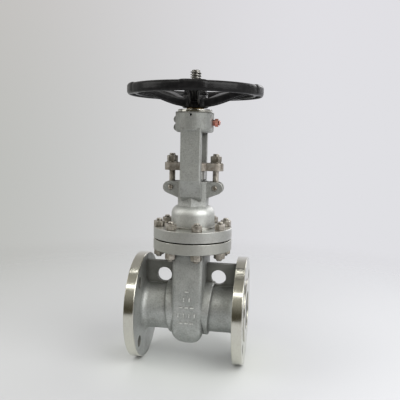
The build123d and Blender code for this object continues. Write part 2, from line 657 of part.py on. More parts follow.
with BuildPart() as follower:
    with BuildSketch(level(PACKING_TOP_Z)):
        Circle(PACKING_R - SLIP)
    extrude(amount=BOX_TOP_Z + FOLLOWER_LIFT - PACKING_TOP_Z)
    with BuildSketch(level(BOX_TOP_Z + FOLLOWER_LIFT)):
        Circle(FOLLOWER_HEAD_OD / 2)
    extrude(amount=GLAND_Z - BOX_TOP_Z - FOLLOWER_LIFT)
    chamfer(
        [e for e in follower.edges().filter_by(GeomType.CIRCLE)
         if abs(e.radius - FOLLOWER_HEAD_OD / 2) < 0.01],
        FOLLOWER_CHAMFER,
    )
    with BuildSketch(level(PACKING_TOP_Z)):
        Circle(STEM_BORE_R)
    extrude(amount=GLAND_Z - PACKING_TOP_Z, mode=Mode.SUBTRACT)
save(follower.part, "gland_follower")

with BuildPart() as gland_flange:
    with BuildSketch(level(GLAND_Z)):
        SlotOverall(GLAND_SPREAD + 2 * GLAND_FLANGE_END, 2 * GLAND_FLANGE_END)
        Circle(GLAND_FLANGE_BOSS / 2)
    extrude(amount=GLAND_FLANGE_THICK)
    fillet(gland_flange.edges().group_by(Axis.Z)[-1], GLAND_EDGE_ROUND)
    with BuildSketch(level(GLAND_Z)):
        Circle(STEM_R + GLAND_STEM_ROOM)
        with gland_bolts():
            Circle(BOLT_HOLE / 2)
    extrude(amount=GLAND_FLANGE_THICK, mode=Mode.SUBTRACT)
save(gland_flange.part, "gland_flange")

washer_top_z = GLAND_TOP_Z + WASHER_THICK
gland_bolt_top_z = washer_top_z + NUT_HEIGHT + BOLT_STAND_OUT
with BuildPart() as eye_bolts:
    with BuildSketch(SIDE):
        with Locations((-GLAND_X, PIN_Z), (GLAND_X, PIN_Z)):
            Circle(EYE_OD / 2)
    extrude(amount=EYE_THICK / 2, both=True)
    with BuildSketch(level(PIN_Z)):
        with gland_bolts():
            Circle(BOLT_DIAMETER / 2)
    extrude(amount=gland_bolt_top_z - PIN_Z)
    chamfer(eye_bolts.edges().group_by(Axis.Z)[-1], EDGE_BREAK)
    with BuildSketch(SIDE):
        with Locations((-GLAND_X, PIN_Z), (GLAND_X, PIN_Z)):
            Circle(PIN_DIAMETER / 2 + RUN)
    extrude(amount=EYE_THICK, both=True, mode=Mode.SUBTRACT)
save(eye_bolts.part, "gland_eye_bolts")

with BuildPart() as gland_pins:
    with BuildSketch(SIDE):
        with Locations((-GLAND_X, PIN_Z), (GLAND_X, PIN_Z)):
            Circle(PIN_DIAMETER / 2)
    extrude(amount=LUG_THICK / 2 + PIN_STAND_OUT, both=True)
    chamfer(gland_pins.edges().filter_by(GeomType.CIRCLE), EDGE_BREAK)
save(gland_pins.part, "gland_pins")

with BuildPart() as gland_washers:
    with BuildSketch(level(GLAND_TOP_Z)):
        with gland_bolts():
            Circle(WASHER_OD / 2)
            Circle(BOLT_HOLE / 2, mode=Mode.SUBTRACT)
    extrude(amount=WASHER_THICK)
save(gland_washers.part, "gland_washers")


# ---- Hexagon nuts and studs ------------------------------------------------------------------
def nuts(places, z_low, turn):
    """A group of nuts on one level, their corners turned down a little."""
    corner_r = NUT_FLATS / 2 / cos(pi / 6) - NUT_CORNER_BREAK
    with BuildPart() as group:
        with BuildSketch(level(z_low)):
            with places():
                RegularPolygon(NUT_FLATS / 2, 6, major_radius=False, rotation=turn)
        extrude(amount=NUT_HEIGHT)
        with BuildSketch(level(z_low)):
            with places():
                Circle(corner_r)
        extrude(amount=NUT_HEIGHT, mode=Mode.INTERSECT)
        with BuildSketch(level(z_low)):
            with places():
                Circle(BOLT_DIAMETER / 2 + THREAD_GAP)
        extrude(amount=NUT_HEIGHT, mode=Mode.SUBTRACT)
    return group.part


save(nuts(gland_bolts, washer_top_z, 0), "gland_nuts")
save(nuts(bonnet_bolts, BONNET_TOP_Z, 0), "bonnet_nuts_upper")
save(nuts(bonnet_bolts, BODY_FLANGE_Z - NUT_HEIGHT, 30), "bonnet_nuts_lower")

stud_low_z = BODY_FLANGE_Z - NUT_HEIGHT - BOLT_STAND_OUT
stud_high_z = BONNET_TOP_Z + NUT_HEIGHT + BOLT_STAND_OUT
with BuildPart() as studs:
    with BuildSketch(level(stud_low_z)):
        with bonnet_bolts():
            Circle(BOLT_DIAMETER / 2)
    extrude(amount=stud_high_z - stud_low_z)
    chamfer(studs.edges().filter_by(GeomType.CIRCLE), EDGE_BREAK)
save(studs.part, "bonnet_studs")

# ---- Stem ------------------------------------------------------------------------------------
root_r = STEM_R - THREAD_DEPTH
flank = THREAD_DEPTH * tan(radians(THREAD_FLANK))
crest = THREAD_PITCH / 2 - flank
ridge_count = int((STEM_TOP_Z - STEM_TIP - THREAD_Z) / THREAD_PITCH)
thread_start_z = STEM_TOP_Z - STEM_TIP - ridge_count * THREAD_PITCH
neck_top_z = AXIS_Z + WEDGE_BOSS_RISE + STEM_NECK_RISE
with BuildPart() as stem:
    with BuildSketch(SIDE):
        with BuildLine():
            outline = [
                (0, TEE_Z + TEE_HEIGHT / 2),
                (STEM_NECK / 2, TEE_Z + TEE_HEIGHT / 2),
                (STEM_NECK / 2, neck_top_z),
                (STEM_R, neck_top_z + STEM_NECK_CONE),
                (STEM_R, COLLAR_TOP_Z - BACKSEAT_COLLAR_HEIGHT),
                (BACKSEAT_COLLAR_OD / 2, COLLAR_TOP_Z - BACKSEAT_COLLAR_HEIGHT),
                (BACKSEAT_COLLAR_OD / 2, COLLAR_TOP_Z - BACKSEAT_CONE),
                (STEM_R + BACKSEAT_LAND, COLLAR_TOP_Z),
                (STEM_R, COLLAR_TOP_Z),
            ]
            for ridge in range(ridge_count):
                foot = thread_start_z + ridge * THREAD_PITCH
                outline += [
                    (STEM_R, foot),
                    (root_r, foot + flank),
                    (root_r, foot + flank + crest),
                    (STEM_R, foot + 2 * flank + crest),
                ]
            outline += [(STEM_R, STEM_TOP_Z - STEM_TIP), (STEM_R - STEM_TIP, STEM_TOP_Z), (0, STEM_TOP_Z)]
            Polyline(*outline, close=True)
        make_face()
    revolve(axis=Axis.Z)
    with BuildSketch(level(TEE_Z)):
        Rectangle(TEE_DEPTH, TEE_WIDTH)
    extrude(amount=TEE_HEIGHT)
save(stem.part, "stem")

# ---- Stem nut, its thrust washers and the yoke cap -----------------------------------------------
key_way_r = HUB_SEAT_R - KEY_SIZE / 2
key_z = HUB_TOP_Z - KEY_LENGTH - KEY_DROP
with BuildPart() as stem_nut:
    with BuildSketch(SIDE):
        with BuildLine():
            Polyline(
                (STEM_BORE_R, HEAD_Z),
                (JOURNAL_R, HEAD_Z),
                (JOURNAL_R, NUT_COLLAR_Z),
                (NUT_COLLAR_R, NUT_COLLAR_Z),
                (NUT_COLLAR_R, NUT_COLLAR_Z + NUT_COLLAR_HEIGHT),
                (JOURNAL_R, NUT_COLLAR_Z + NUT_COLLAR_HEIGHT),
                (JOURNAL_R, HUB_Z),
                (HUB_SEAT_R, HUB_Z),
                (HUB_SEAT_R, HUB_TOP_Z),
                (TOP_THREAD_R, HUB_TOP_Z),
                (TOP_THREAD_R, NUT_TOP_Z),
                (STEM_BORE_R, NUT_TOP_Z),
                close=True,
            )
        make_face()
    revolve(axis=Axis.Z)
    with BuildSketch(level(key_z)):
        with Locations((key_way_r + KEY_SIZE, 0)):
            Rectangle(2 * KEY_SIZE, KEY_SIZE)
    extrude(amount=HUB_TOP_Z - key_z, mode=Mode.SUBTRACT)
save(stem_nut.part, "stem_nut")

washer_inner_r = JOURNAL_R + RUN
washer_outer_r = BEARING_R - SLIP
save(tube(washer_outer_r, washer_inner_r, BEARING_Z, BEARING_Z + THRUST_WASHER_THICK),
     "thrust_washer_lower")
save(tube(washer_outer_r, washer_inner_r, UPPER_WASHER_Z, CAP_Z), "thrust_washer_upper")

with BuildPart() as cap:
    with BuildSketch(level(CAP_Z)):
        Circle(BEARING_R - THREAD_GAP)
    extrude(amount=HEAD_TOP_Z - CAP_Z)
    with BuildSketch(level(HEAD_TOP_Z)):
        Circle(CAP_OD / 2)
    extrude(amount=CAP_THICK)
    chamfer(cap.edges().group_by(Axis.Z)[-1], EDGE_BREAK)
    with BuildSketch(level(CAP_Z)):
        Circle(washer_inner_r)
    extrude(amount=CAP_TOP_Z - CAP_Z, mode=Mode.SUBTRACT)
    # Two blind holes for a pin spanner.
    with BuildSketch(level(CAP_TOP_Z)):
        with PolarLocations((JOURNAL_R + CAP_OD / 2) / 2, 2):
            Circle(CAP_SET_SCREW / 2)
    extrude(amount=-CAP_THICK / 2, mode=Mode.SUBTRACT)
save(cap.part, "yoke_cap")

with BuildPart() as set_screw:
    with BuildSketch(Plane.XZ.offset(BEARING_R)):
        with Locations((0, HEAD_TOP_Z - CAP_SET_SCREW_DROP)):
            Circle(CAP_SET_SCREW / 2)
    extrude(amount=CAP_SET_SCREW_LENGTH)
save(set_screw.part, "yoke_cap_set_screw")


# ---- Handwheel ----------------------------------------------------------------------------------
def spoke_plane(turn, out, z):
    """Stands across one spoke, that far out from the stem axis."""
    a = radians(turn)
    return Plane(
        origin=(out * cos(a), out * sin(a), z), x_dir=(-sin(a), cos(a), 0), z_dir=(cos(a), sin(a), 0)
    )


with BuildPart() as handwheel:
    with BuildSketch(SIDE):
        with Locations((RIM_R, RIM_Z)):
            Ellipse(RIM_WIDTH / 2, RIM_HEIGHT / 2)
    revolve(axis=Axis.Z)
    with BuildSketch(level(HUB_Z)):
        Circle(HUB_OD / 2)
    extrude(amount=HUB_HEIGHT)
    root_z = HUB_Z + SPOKE_ROOT_RISE
    for spoke in range(SPOKE_COUNT):
        turn = SPOKE_TURN - 90 + spoke * 360 / SPOKE_COUNT
        for out, z, width in (
            (HUB_OD / 2 - SPOKE_ROOT_IN, root_z, SPOKE_WIDTH),
            ((HUB_OD / 2 + RIM_R) / 2, (root_z + RIM_Z) / 2 - SPOKE_SAG, SPOKE_WIDTH - SPOKE_WAIST),
            (RIM_R - SPOKE_RIM_IN, RIM_Z, SPOKE_WIDTH + SPOKE_SPREAD),
        ):
            with BuildSketch(spoke_plane(turn, out, z)):
                RectangleRounded(width, SPOKE_THICK, SPOKE_ROUND)
        loft()
    with BuildSketch(level(HUB_Z)):
        Circle(HUB_SEAT_R + SLIP)
        with Locations((key_way_r + KEY_SIZE / 2, 0)):
            Rectangle(KEY_SIZE + SLIP, KEY_SIZE + 2 * SLIP)
    extrude(amount=HUB_HEIGHT, mode=Mode.SUBTRACT)
save(handwheel.part, "handwheel")

with BuildPart() as key:
    with BuildSketch(level(key_z)):
        with Locations((key_way_r + KEY_SIZE / 2, 0)):
            Rectangle(KEY_SIZE, KEY_SIZE - 2 * THREAD_GAP)
    extrude(amount=KEY_LENGTH)
save(key.part, "handwheel_key")

save(tube(HUB_OD / 2, TOP_THREAD_R + SLIP, HUB_TOP_Z, WHEEL_NUT_Z), "handwheel_washer")

with BuildPart() as wheel_nut:
    with BuildSketch(level(WHEEL_NUT_Z)):
        RegularPolygon(WHEEL_NUT_FLATS / 2, 6, major_radius=False)
        Circle(TOP_THREAD_R + THREAD_GAP, mode=Mode.SUBTRACT)
    extrude(amount=WHEEL_NUT_HEIGHT)
save(wheel_nut.part, "handwheel_nut")

# ---- Grease nipple ---------------------------------------------------------------------------------
NIPPLE_X = HEAD_WIDTH / 2
NIPPLE_Z = HEAD_Z + HEAD_HEIGHT / 2
NIPPLE_SIDE = Plane(origin=(0, 0, NIPPLE_Z), x_dir=(1, 0, 0), z_dir=(0, -1, 0))
nipple_hex_x = NIPPLE_X + NIPPLE_COLLAR_LENGTH
nipple_tip_x = nipple_hex_x + NIPPLE_HEX_LENGTH + NIPPLE_HEAD_LENGTH
with BuildPart() as nipple:
    with BuildSketch(Plane.YZ.offset(nipple_hex_x)):
        with Locations((0, NIPPLE_Z)):
            RegularPolygon(NIPPLE_FLATS / 2, 6, major_radius=False)
    extrude(amount=NIPPLE_HEX_LENGTH)
    with BuildSketch(NIPPLE_SIDE):
        with BuildLine():
            Polyline(
                (NIPPLE_X - NIPPLE_SHANK_LENGTH, 0),
                (NIPPLE_X - NIPPLE_SHANK_LENGTH, NIPPLE_SHANK / 2),
                (NIPPLE_X, NIPPLE_SHANK / 2),
                (NIPPLE_X, NIPPLE_COLLAR / 2),
                (nipple_hex_x + NIPPLE_HEX_LENGTH / 2, NIPPLE_COLLAR / 2),
                (nipple_hex_x + NIPPLE_HEX_LENGTH, NIPPLE_NECK / 2),
                (nipple_tip_x - NIPPLE_HEAD_TO_TIP, NIPPLE_HEAD / 2),
                (nipple_tip_x - NIPPLE_NOSE, NIPPLE_HEAD / 2),
                (nipple_tip_x, NIPPLE_PASSAGE / 2 + NIPPLE_LAND),
                (nipple_tip_x, 0),
                close=True,
            )
        make_face()
    revolve(axis=Axis((0, 0, NIPPLE_Z), (1, 0, 0)))
    with BuildSketch(Plane.YZ.offset(NIPPLE_X - NIPPLE_SHANK_LENGTH)):
        with Locations((0, NIPPLE_Z)):
            Circle(NIPPLE_PASSAGE / 2)
    extrude(amount=nipple_tip_x - NIPPLE_X + NIPPLE_SHANK_LENGTH, mode=Mode.SUBTRACT)
    with BuildSketch(Plane.YZ.offset(nipple_tip_x - NIPPLE_BALL)):
        with Locations((0, NIPPLE_Z)):
            Circle(NIPPLE_BALL / 2 + THREAD_GAP)
    extrude(amount=NIPPLE_BALL, mode=Mode.SUBTRACT)
save(nipple.part, "grease_nipple")

with BuildPart() as ball:
    with BuildSketch(NIPPLE_SIDE):
        with BuildLine():
            ball_x = nipple_tip_x - NIPPLE_BALL / 2
            CenterArc((ball_x, 0), NIPPLE_BALL / 2, 0, 180)
            Line((ball_x - NIPPLE_BALL / 2, 0), (ball_x + NIPPLE_BALL / 2, 0))
        make_face()
    revolve(axis=Axis((0, 0, NIPPLE_Z), (1, 0, 0)))
save(ball.part, "grease_nipple_ball")
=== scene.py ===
from math import cos, pi, radians, sin, tan, tau

import bmesh
import bpy
from mathutils import Matrix, Vector


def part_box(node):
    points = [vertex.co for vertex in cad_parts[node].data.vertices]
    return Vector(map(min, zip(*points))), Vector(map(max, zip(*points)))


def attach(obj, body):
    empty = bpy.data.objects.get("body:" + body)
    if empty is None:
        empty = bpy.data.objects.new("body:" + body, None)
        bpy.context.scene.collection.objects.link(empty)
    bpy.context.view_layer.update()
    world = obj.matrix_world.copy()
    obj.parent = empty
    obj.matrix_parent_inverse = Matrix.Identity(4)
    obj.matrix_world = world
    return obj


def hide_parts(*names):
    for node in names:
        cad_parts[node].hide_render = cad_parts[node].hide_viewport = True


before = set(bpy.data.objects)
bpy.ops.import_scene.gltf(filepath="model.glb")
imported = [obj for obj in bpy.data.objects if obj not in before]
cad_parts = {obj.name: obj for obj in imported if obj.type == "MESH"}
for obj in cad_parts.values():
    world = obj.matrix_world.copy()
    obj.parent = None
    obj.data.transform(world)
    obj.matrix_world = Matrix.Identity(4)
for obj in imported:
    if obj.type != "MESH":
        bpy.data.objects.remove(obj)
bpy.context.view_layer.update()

scene = bpy.context.scene
MM = 0.001

# ---- Levels and radii ---------------------------------------------------------------------
body_lo, body_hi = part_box("body")
bonnet_lo, bonnet_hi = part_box("bonnet")
seat_lo, seat_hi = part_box("seat_ring_outlet")
wheel_lo, wheel_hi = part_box("handwheel")
stem_lo, stem_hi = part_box("stem")
AXIS_Z = (seat_lo.z + seat_hi.z) / 2
FLANGE_R = AXIS_Z - body_lo.z
END_X = body_hi.x
FLANGE_FRONT_X = END_X - 1.6 * MM       # behind the raised face
FLANGE_BACK_X = END_X - 18 * MM
BOLT_CIRCLE_R = 69.85 * MM
BOLT_HOLE_R = 9.5 * MM
CHAMBER_X = 25.5 * MM                   # half width of the chamber
BRANCH_R = 39.25 * MM
WEB_HALF = 4.5 * MM                     # half the thickness of a web plate
BONNET_R = bonnet_hi.x
BONNET_FLANGE_TOP = bonnet_lo.z + 18 * MM
PAD_TOP = bonnet_lo.z + 20.5 * MM
DOME_TOP = bonnet_lo.z + 54.5 * MM
HUB_Z = wheel_lo.z
WHEEL_R = wheel_hi.x
MARKS_HALF_WIDTH = 20 * MM
MARKS_HALF_HEIGHT = 45 * MM
# The cast marks are the foremost points of the chamber.
MARK_Y = -min(
    v.co.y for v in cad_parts["body"].data.vertices
    if abs(v.co.x) < 16 * MM and abs(v.co.z - AXIS_Z) < MARKS_HALF_HEIGHT
)


# ---- Shader networks ----------------------------------------------------------------------
class Network:
    """A node tree, with short calls for the arithmetic between its nodes."""

    def __init__(self, tree):
        self.tree = tree
        self.tree.nodes.clear()

    def node(self, kind, **settings):
        made = self.tree.nodes.new(kind)
        for key, value in settings.items():
            setattr(made, key, value)
        return made

    def put(self, value, socket):
        if isinstance(value, bpy.types.NodeSocket):
            self.tree.links.new(value, socket)
        else:
            socket.default_value = value

    def math(self, operation, *values):
        made = self.node("ShaderNodeMath", operation=operation)
        for value, socket in zip(values, made.inputs):
            self.put(value, socket)
        return made.outputs[0]

    def chain(self, operation, values):
        total = values[0]
        for value in values[1:]:
            total = self.math(operation, total, value)
        return total

    def add(self, *values):
        return self.chain("ADD", values)

    def times(self, *values):
        return self.chain("MULTIPLY", values)

    def largest(self, *values):
        return self.chain("MAXIMUM", values)

    def invert(self, value):
        return self.math("SUBTRACT", 1.0, value)

    def step(self, value, low, high):
        """0 below low and 1 above high, smooth between."""
        made = self.node("ShaderNodeMapRange", interpolation_type="SMOOTHSTEP")
        self.put(value, made.inputs["Value"])
        made.inputs["From Min"].default_value = low
        made.inputs["From Max"].default_value = high
        return made.outputs["Result"]

    def below(self, value, low, high):
        """1 below low and 0 above high, smooth between."""
        return self.invert(self.step(value, low, high))

    def distance(self, a, b, shift=0.0):
        """Length of (a, b - shift)."""
        b = self.math("SUBTRACT", b, shift)
        return self.math("SQRT", self.add(self.times(a, a), self.times(b, b)))

    def blend(self, share, a, b):
        """Colour a, going to colour b as share goes to 1."""
        made = self.node("ShaderNodeMix", data_type="RGBA")
        self.put(share, made.inputs[0])
        self.put(a if isinstance(a, bpy.types.NodeSocket) else (*a, 1.0), made.inputs[6])
        self.put(b if isinstance(b, bpy.types.NodeSocket) else (*b, 1.0), made.inputs[7])
        return made.outputs[2]

    def level(self, share, a, b):
        """Number a, going to number b as share goes to 1."""
        made = self.node("ShaderNodeMix", data_type="FLOAT")
        self.put(share, made.inputs[0])
        self.put(a, made.inputs[2])
        self.put(b, made.inputs[3])
        return made.outputs[0]


class Paint(Network):
    """One material's nodes, with its patterns and its wear."""

    def __init__(self, name, metallic=0.0, coat=0.0, **constants):
        self.material = bpy.data.materials.new(name)
        self.material.use_nodes = True
        super().__init__(self.material.node_tree)
        out = self.node("ShaderNodeOutputMaterial")
        self.shader = self.node("ShaderNodeBsdfPrincipled")
        self.tree.links.new(self.shader.outputs[0], out.inputs[0])
        self.shader.inputs["Metallic"].default_value = metallic
        self.shader.inputs["Coat Weight"].default_value = coat
        for socket, value in constants.items():
            self.shader.inputs[socket.replace("_", " ")].default_value = value
        self.place = self.node("ShaderNodeTexCoord").outputs["Object"]
        split = self.node("ShaderNodeSeparateXYZ")
        self.tree.links.new(self.place, split.inputs[0])
        self.x, self.y, self.z = split.outputs
        self.out = self.math("ABSOLUTE", self.x)
        self.up = self.math("SUBTRACT", self.z, AXIS_Z)

    def noise(self, scale, detail=2.0, roughness=0.5, stretch=None):
        made = self.node("ShaderNodeTexNoise")
        made.inputs["Scale"].default_value = scale
        made.inputs["Detail"].default_value = detail
        made.inputs["Roughness"].default_value = roughness
        place = self.place
        if stretch is not None:
            mapping = self.node("ShaderNodeMapping")
            mapping.inputs["Scale"].default_value = stretch
            self.put(self.place, mapping.inputs["Vector"])
            place = mapping.outputs[0]
        self.put(place, made.inputs["Vector"])
        return made.outputs["Fac"]

    def cells(self, scale):
        made = self.node("ShaderNodeTexVoronoi", feature="F1")
        made.inputs["Scale"].default_value = scale
        self.put(self.place, made.inputs["Vector"])
        return made.outputs["Distance"]

    def edges(self, radius):
        """The softened normal, and a mask that is 1 along edges, used for wear and for painted
        edge highlights.
        """
        soft = self.node("ShaderNodeBevel", samples=6)
        soft.inputs["Radius"].default_value = radius
        dot = self.node("ShaderNodeVectorMath", operation="DOT_PRODUCT")
        self.put(soft.outputs[0], dot.inputs[0])
        self.put(self.node("ShaderNodeNewGeometry").outputs["Normal"], dot.inputs[1])
        return soft.outputs[0], self.below(dot.outputs["Value"], 0.80, 0.99)

    def hollow(self, distance):
        """1 in corners and under overhangs, where shade falls: a mask for painted shade, and for
        grime.
        """
        made = self.node("ShaderNodeAmbientOcclusion", samples=6)
        made.inputs["Distance"].default_value = distance
        return self.below(made.outputs["AO"], 0.25, 0.95)

    def bump(self, height, distance, strength, normal=None):
        made = self.node("ShaderNodeBump")
        self.put(height, made.inputs["Height"])
        self.put(strength, made.inputs["Strength"])
        made.inputs["Distance"].default_value = distance
        if normal is not None:
            self.put(normal, made.inputs["Normal"])
        return made.outputs[0]

    def finish(self, colour, roughness, normal=None):
        self.put(colour, self.shader.inputs["Base Color"])
        self.put(roughness, self.shader.inputs["Roughness"])
        if normal is not None:
            self.put(normal, self.shader.inputs["Normal"])
        return self.material


def scaled(colour, factor):
    return tuple(c * factor for c in colour)


# ---- Castings -----------------------------------------------------------------------------
TOOL_PITCH = 0.9 * MM


def casting(name, machined, rough_skin_and_shade, warm, raised):
    """Bead-blasted stainless casting; machined(p) gives a mask of its turned surfaces and
    the radius their tool marks run round, rough_skin_and_shade(p) a mask of darker, rougher skin,
    which on the body also holds painted shade under the bonnet flange, and raised(p) one of places
    made lighter by blasting and wear, with a painted highlight on the cast marks. Turned surfaces
    take the colour warm."""
    p = Paint(name, metallic=1.0)
    turned, lathe_radius = machined(p)
    coarse_skin_and_shade = rough_skin_and_shade(p)
    soft, edge_wear_and_highlight = p.edges(1.2 * MM)
    # Painted shade: corners and overhangs are darkened in colour, and roughened as grime.
    grime_and_hollow_shade = p.hollow(12 * MM)

    patches = p.noise(22.0, 4.0, 0.6)
    stains = p.noise(70.0, 3.0, 0.6)
    grit = p.noise(1100.0, 3.0, 0.7)
    mottle = p.noise(430.0, 2.0, 0.8)
    skin = p.blend(p.step(patches, 0.35, 0.65), (0.435, 0.450, 0.440), (0.545, 0.560, 0.550))
    skin = p.blend(p.times(p.step(stains, 0.52, 0.75), 0.45), skin, (0.31, 0.305, 0.285))
    skin = p.blend(p.times(p.step(grit, 0.55, 0.8), 0.55), skin, (0.60, 0.60, 0.585))
    skin = p.blend(p.times(p.step(mottle, 0.52, 0.66), 0.45), skin, (0.64, 0.64, 0.62))
    skin = p.blend(p.times(p.step(mottle, 0.48, 0.34), 0.45), skin, (0.27, 0.27, 0.25))
    # Darker, rougher skin; on the body's upper part this darkening is painted shade under the
    # bonnet flange.
    skin = p.blend(p.times(coarse_skin_and_shade, 0.75), skin, (0.215, 0.215, 0.195))
    # Lighter places: the blasted dome, and the cast marks, polished and given a painted highlight.
    skin = p.blend(raised(p), skin, (0.88, 0.89, 0.87))
    # Lighter edges: wear, and painted highlight.
    skin = p.blend(p.times(edge_wear_and_highlight, 0.6), skin, (0.66, 0.66, 0.64))
    # Painted shade in corners and under overhangs.
    skin = p.blend(p.times(grime_and_hollow_shade, 0.85), skin, (0.11, 0.107, 0.097))

    marks = p.noise(1.0, 2.0, 0.6, (2600.0, 90.0, 90.0))
    bright = p.blend(p.step(marks, 0.3, 0.7), warm, scaled(warm, 1.12))
    bright = p.blend(p.times(p.step(stains, 0.55, 0.8), 0.3), bright, (0.50, 0.47, 0.40))
    bright = p.blend(p.times(p.step(mottle, 0.5, 0.66), 0.3), bright, scaled(warm, 0.72))
    # Painted shade in the hollows of the turned surfaces.
    bright = p.blend(p.times(grime_and_hollow_shade, 0.5), bright, (0.25, 0.24, 0.21))
    colour = p.blend(turned, skin, bright)

    rough = p.level(p.step(patches, 0.3, 0.7), 0.60, 0.51)
    rough = p.add(rough, p.times(coarse_skin_and_shade, 0.16), p.times(grime_and_hollow_shade, 0.12), p.times(edge_wear_and_highlight, -0.10))
    shine = p.add(0.105, p.times(p.step(stains, 0.4, 0.8), 0.10), p.times(marks, 0.06))
    roughness = p.level(turned, rough, shine)

    grain = p.add(p.times(grit, 0.7), p.times(p.cells(900.0), 0.6), p.times(mottle, 1.3))
    rings = p.math("SINE", p.times(lathe_radius, tau / TOOL_PITCH))
    height = p.level(turned, grain, p.times(rings, 0.10))
    strength = p.level(coarse_skin_and_shade, 0.42, 0.85)
    return p.finish(colour, roughness, p.bump(height, 0.28 * MM, strength, soft))


def bonnet_rim(p):
    """The rim of the bolted joint is only half cleaned up."""
    edge = p.step(p.distance(p.x, p.y), BONNET_R - 1.3 * MM, BONNET_R - 0.9 * MM)
    return p.times(edge, 0.35)


def body_machined(p):
    across = p.distance(p.y, p.z, AXIS_Z)
    rim = p.times(
        p.step(across, FLANGE_R - 1.6 * MM, FLANGE_R - 1.0 * MM),
        p.step(p.out, FLANGE_BACK_X - 0.4 * MM, FLANGE_BACK_X - 0.1 * MM),
    )
    face = p.step(p.out, FLANGE_FRONT_X - 0.3 * MM, FLANGE_FRONT_X - 0.1 * MM)
    joint = p.step(p.z, body_hi.z - 0.6 * MM, body_hi.z - 0.2 * MM)
    top_rim = p.times(bonnet_rim(p), p.step(p.up, 95 * MM, 97 * MM))
    return p.largest(rim, face, joint, top_rim), p.add(across, p.times(p.out, 0.5))


def body_skin_and_shade(p):
    """The web plates, bolt holes and flange backs are left as cast, and upper parts are
    duller; their darkening is painted shade under the bonnet flange."""
    web = p.times(
        p.below(p.math("ABSOLUTE", p.y), WEB_HALF + 0.1 * MM, WEB_HALF + 0.7 * MM),
        p.step(p.up, BRANCH_R + 0.25 * MM, BRANCH_R + 2.25 * MM),
        p.step(p.out, CHAMBER_X, CHAMBER_X + 0.7 * MM),
        p.below(p.out, FLANGE_BACK_X + 0.2 * MM, FLANGE_BACK_X + 0.8 * MM),
    )
    # Painted shade: darker towards the top, under the bonnet flange; the same mask also roughens
    # the skin.
    upper = p.times(p.step(p.up, -5 * MM, 75 * MM), 0.34)
    flange_back = p.times(
        p.step(p.out, FLANGE_BACK_X - 1.0 * MM, FLANGE_BACK_X - 0.2 * MM),
        p.below(p.out, FLANGE_BACK_X + 2.0 * MM, FLANGE_BACK_X + 2.5 * MM),
        p.step(p.up, -20 * MM, 60 * MM), 0.72,
    )
    bolt = BOLT_CIRCLE_R * sin(pi / 4)
    beside = p.math("SUBTRACT", p.math("ABSOLUTE", p.y), bolt)
    from_bolt = p.distance(beside, p.math("ABSOLUTE", p.up), bolt)
    hole = p.times(
        p.below(from_bolt, BOLT_HOLE_R + 0.05 * MM, BOLT_HOLE_R + 0.2 * MM),
        p.step(p.out, FLANGE_BACK_X - 7 * MM, FLANGE_BACK_X - 5 * MM), 1.25,
    )
    return p.largest(web, upper, flange_back, hole)


def body_raised(p):
    """The faces of the cast marks are lighter in patches: polished by wear, and painted highlight.
    """
    front = p.step(p.math("MULTIPLY", p.y, -1.0), MARK_Y - 0.8 * MM, MARK_Y - 0.3 * MM)
    inside = p.below(p.out, MARKS_HALF_WIDTH - 0.5 * MM, MARKS_HALF_WIDTH + 0.5 * MM)
    level = p.below(
        p.math("ABSOLUTE", p.up), MARKS_HALF_HEIGHT - 1 * MM, MARKS_HALF_HEIGHT + 1 * MM
    )
    patchy = p.level(p.step(p.noise(420.0, 2.0, 0.8), 0.40, 0.58), 0.25, 0.95)
    return p.times(front, inside, level, patchy)


def bonnet_machined(p):
    pad = p.times(
        p.step(p.z, BONNET_FLANGE_TOP - 0.4 * MM, BONNET_FLANGE_TOP - 0.1 * MM),
        p.below(p.z, PAD_TOP + 0.7 * MM, PAD_TOP + 1.1 * MM), 0.45,
    )
    joint = p.below(p.z, bonnet_lo.z + 0.2 * MM, bonnet_lo.z + 0.6 * MM)
    head = p.step(p.z, bonnet_hi.z - 0.6 * MM, bonnet_hi.z - 0.2 * MM)
    return p.largest(pad, joint, bonnet_rim(p), head), p.distance(p.x, p.y)


def bonnet_skin(p):
    """Above the dome the casting keeps some scale; a dark seam runs under the yoke cap."""
    scale = p.times(p.step(p.z, DOME_TOP + 1.5 * MM, DOME_TOP + 9.5 * MM), 0.42)
    seam = p.times(
        p.step(p.z, bonnet_hi.z - 2.2 * MM, bonnet_hi.z - 1.8 * MM),
        p.below(p.z, bonnet_hi.z - 0.6 * MM, bonnet_hi.z - 0.2 * MM), 1.25,
    )
    return p.largest(scale, seam)


def bonnet_raised(p):
    """The dome is blasted brighter than the rest."""
    low = p.step(p.z, PAD_TOP - 1.5 * MM, PAD_TOP + 0.5 * MM)
    high = p.below(p.z, DOME_TOP - 4.5 * MM, DOME_TOP + 5.5 * MM)
    return p.times(low, high, 0.30)


body_paint = casting("cast_body", body_machined, body_skin_and_shade, (0.60, 0.59, 0.53), body_raised)
bonnet_paint = casting(
    "cast_bonnet", bonnet_machined, bonnet_skin, (0.60, 0.59, 0.55), bonnet_raised
)


